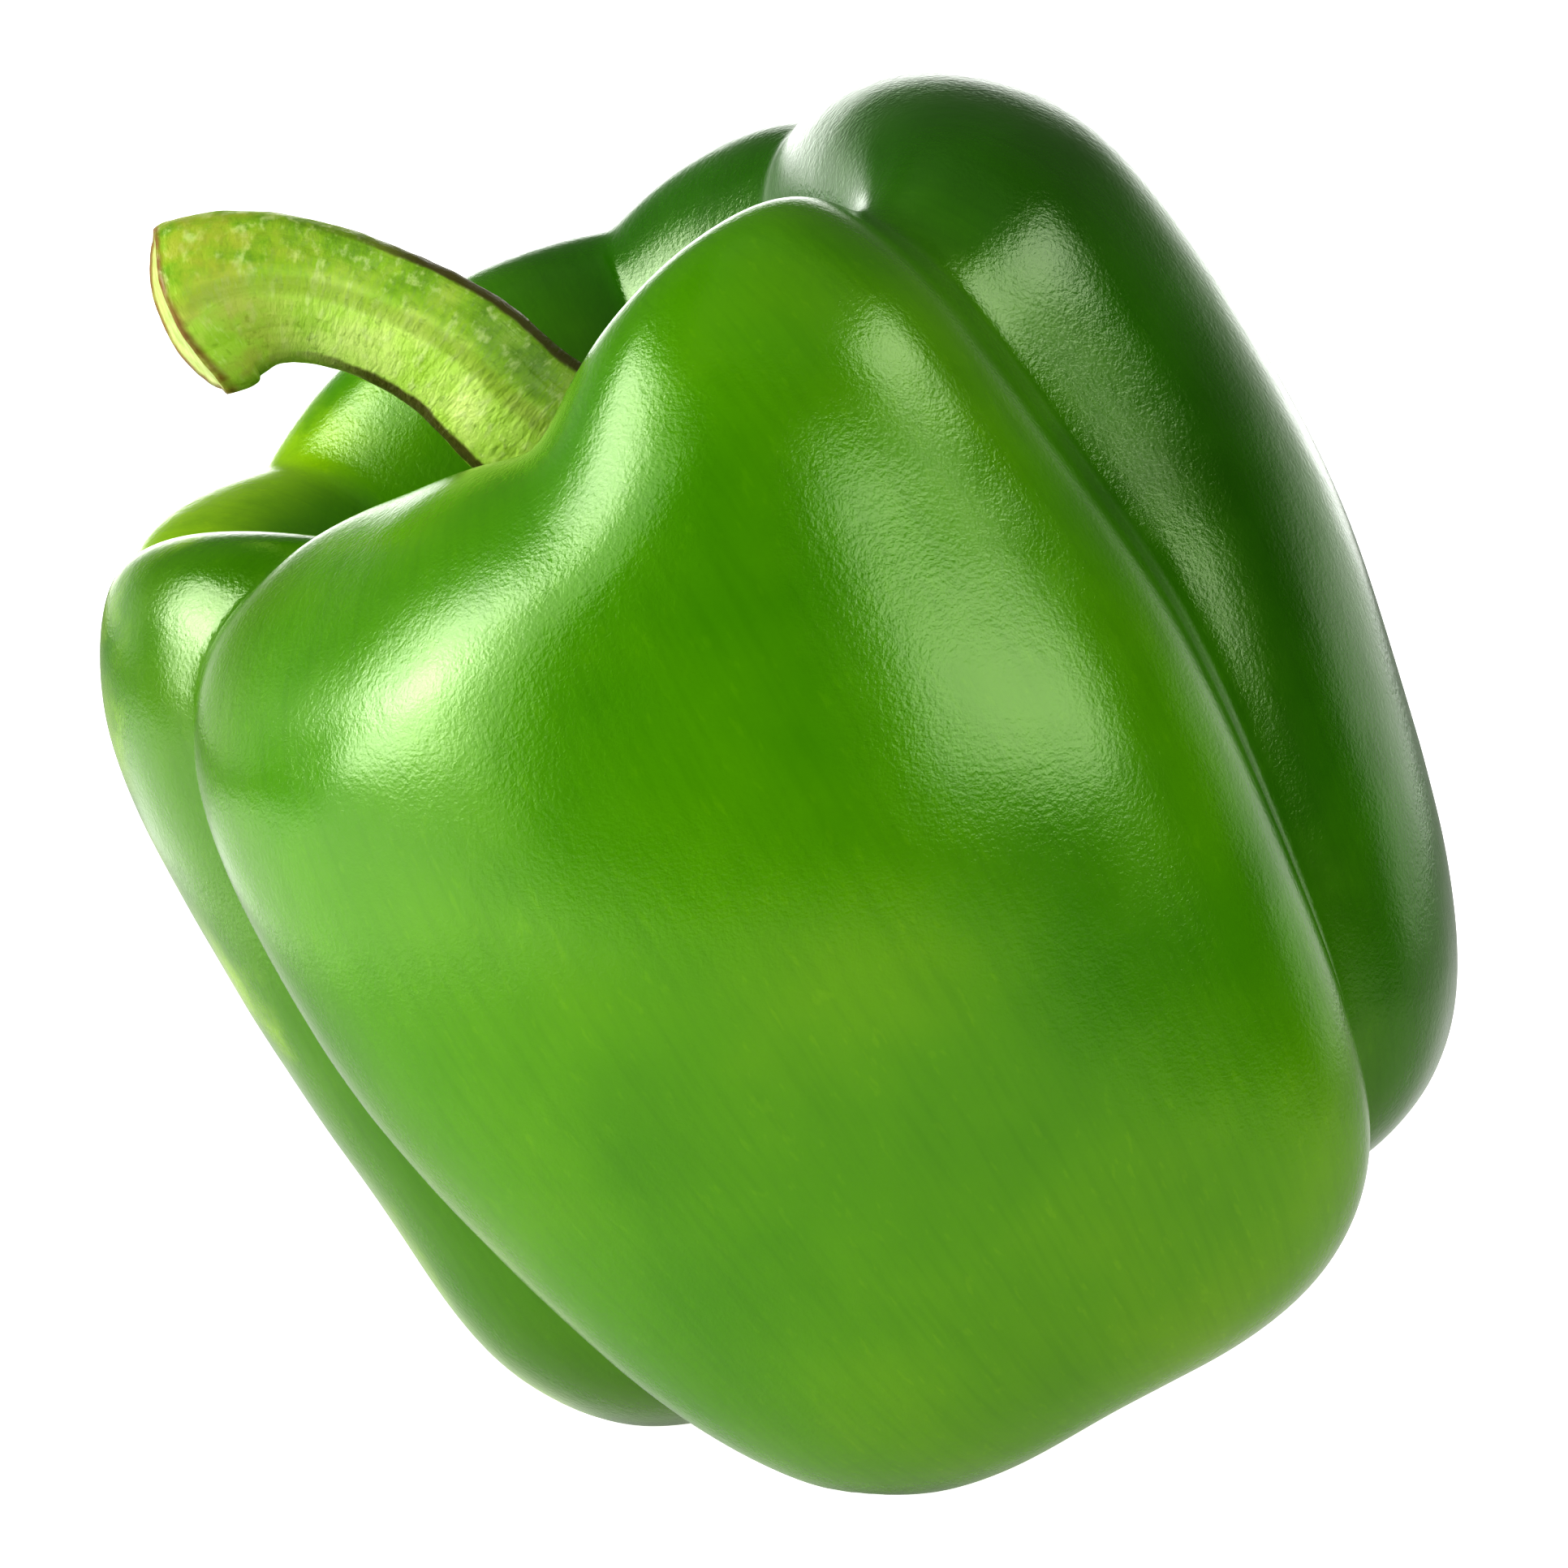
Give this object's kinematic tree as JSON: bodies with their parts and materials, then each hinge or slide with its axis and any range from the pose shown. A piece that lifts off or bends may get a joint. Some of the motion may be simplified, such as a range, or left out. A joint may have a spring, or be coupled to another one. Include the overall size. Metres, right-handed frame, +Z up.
{
  "type": "bell pepper",
  "caption": "Green bell pepper with deep lobes and a hooked, cut stem, leaning at rest on its lobe feet.",
  "frame": {"origin": "centre of the whole pepper's bounding box in X and Y, on the surface that it rests on", "axes": "+Z up from that surface; +X to the pepper's right as its wide front lobe is seen, away from the stem; -Y out of the front lobe"},
  "size_m": [0.1032, 0.0932, 0.1025],
  "materials": {
    "skin": "waxy gloss with a fine pebbled grain",
    "calyx": "satin, leafy",
    "stem": "satin, ribbed and lightly corked"
  },
  "bodies": {
    "root": {"fruit": "skin", "calyx": "calyx", "stem": "stem"}
  },
  "joints": []
}
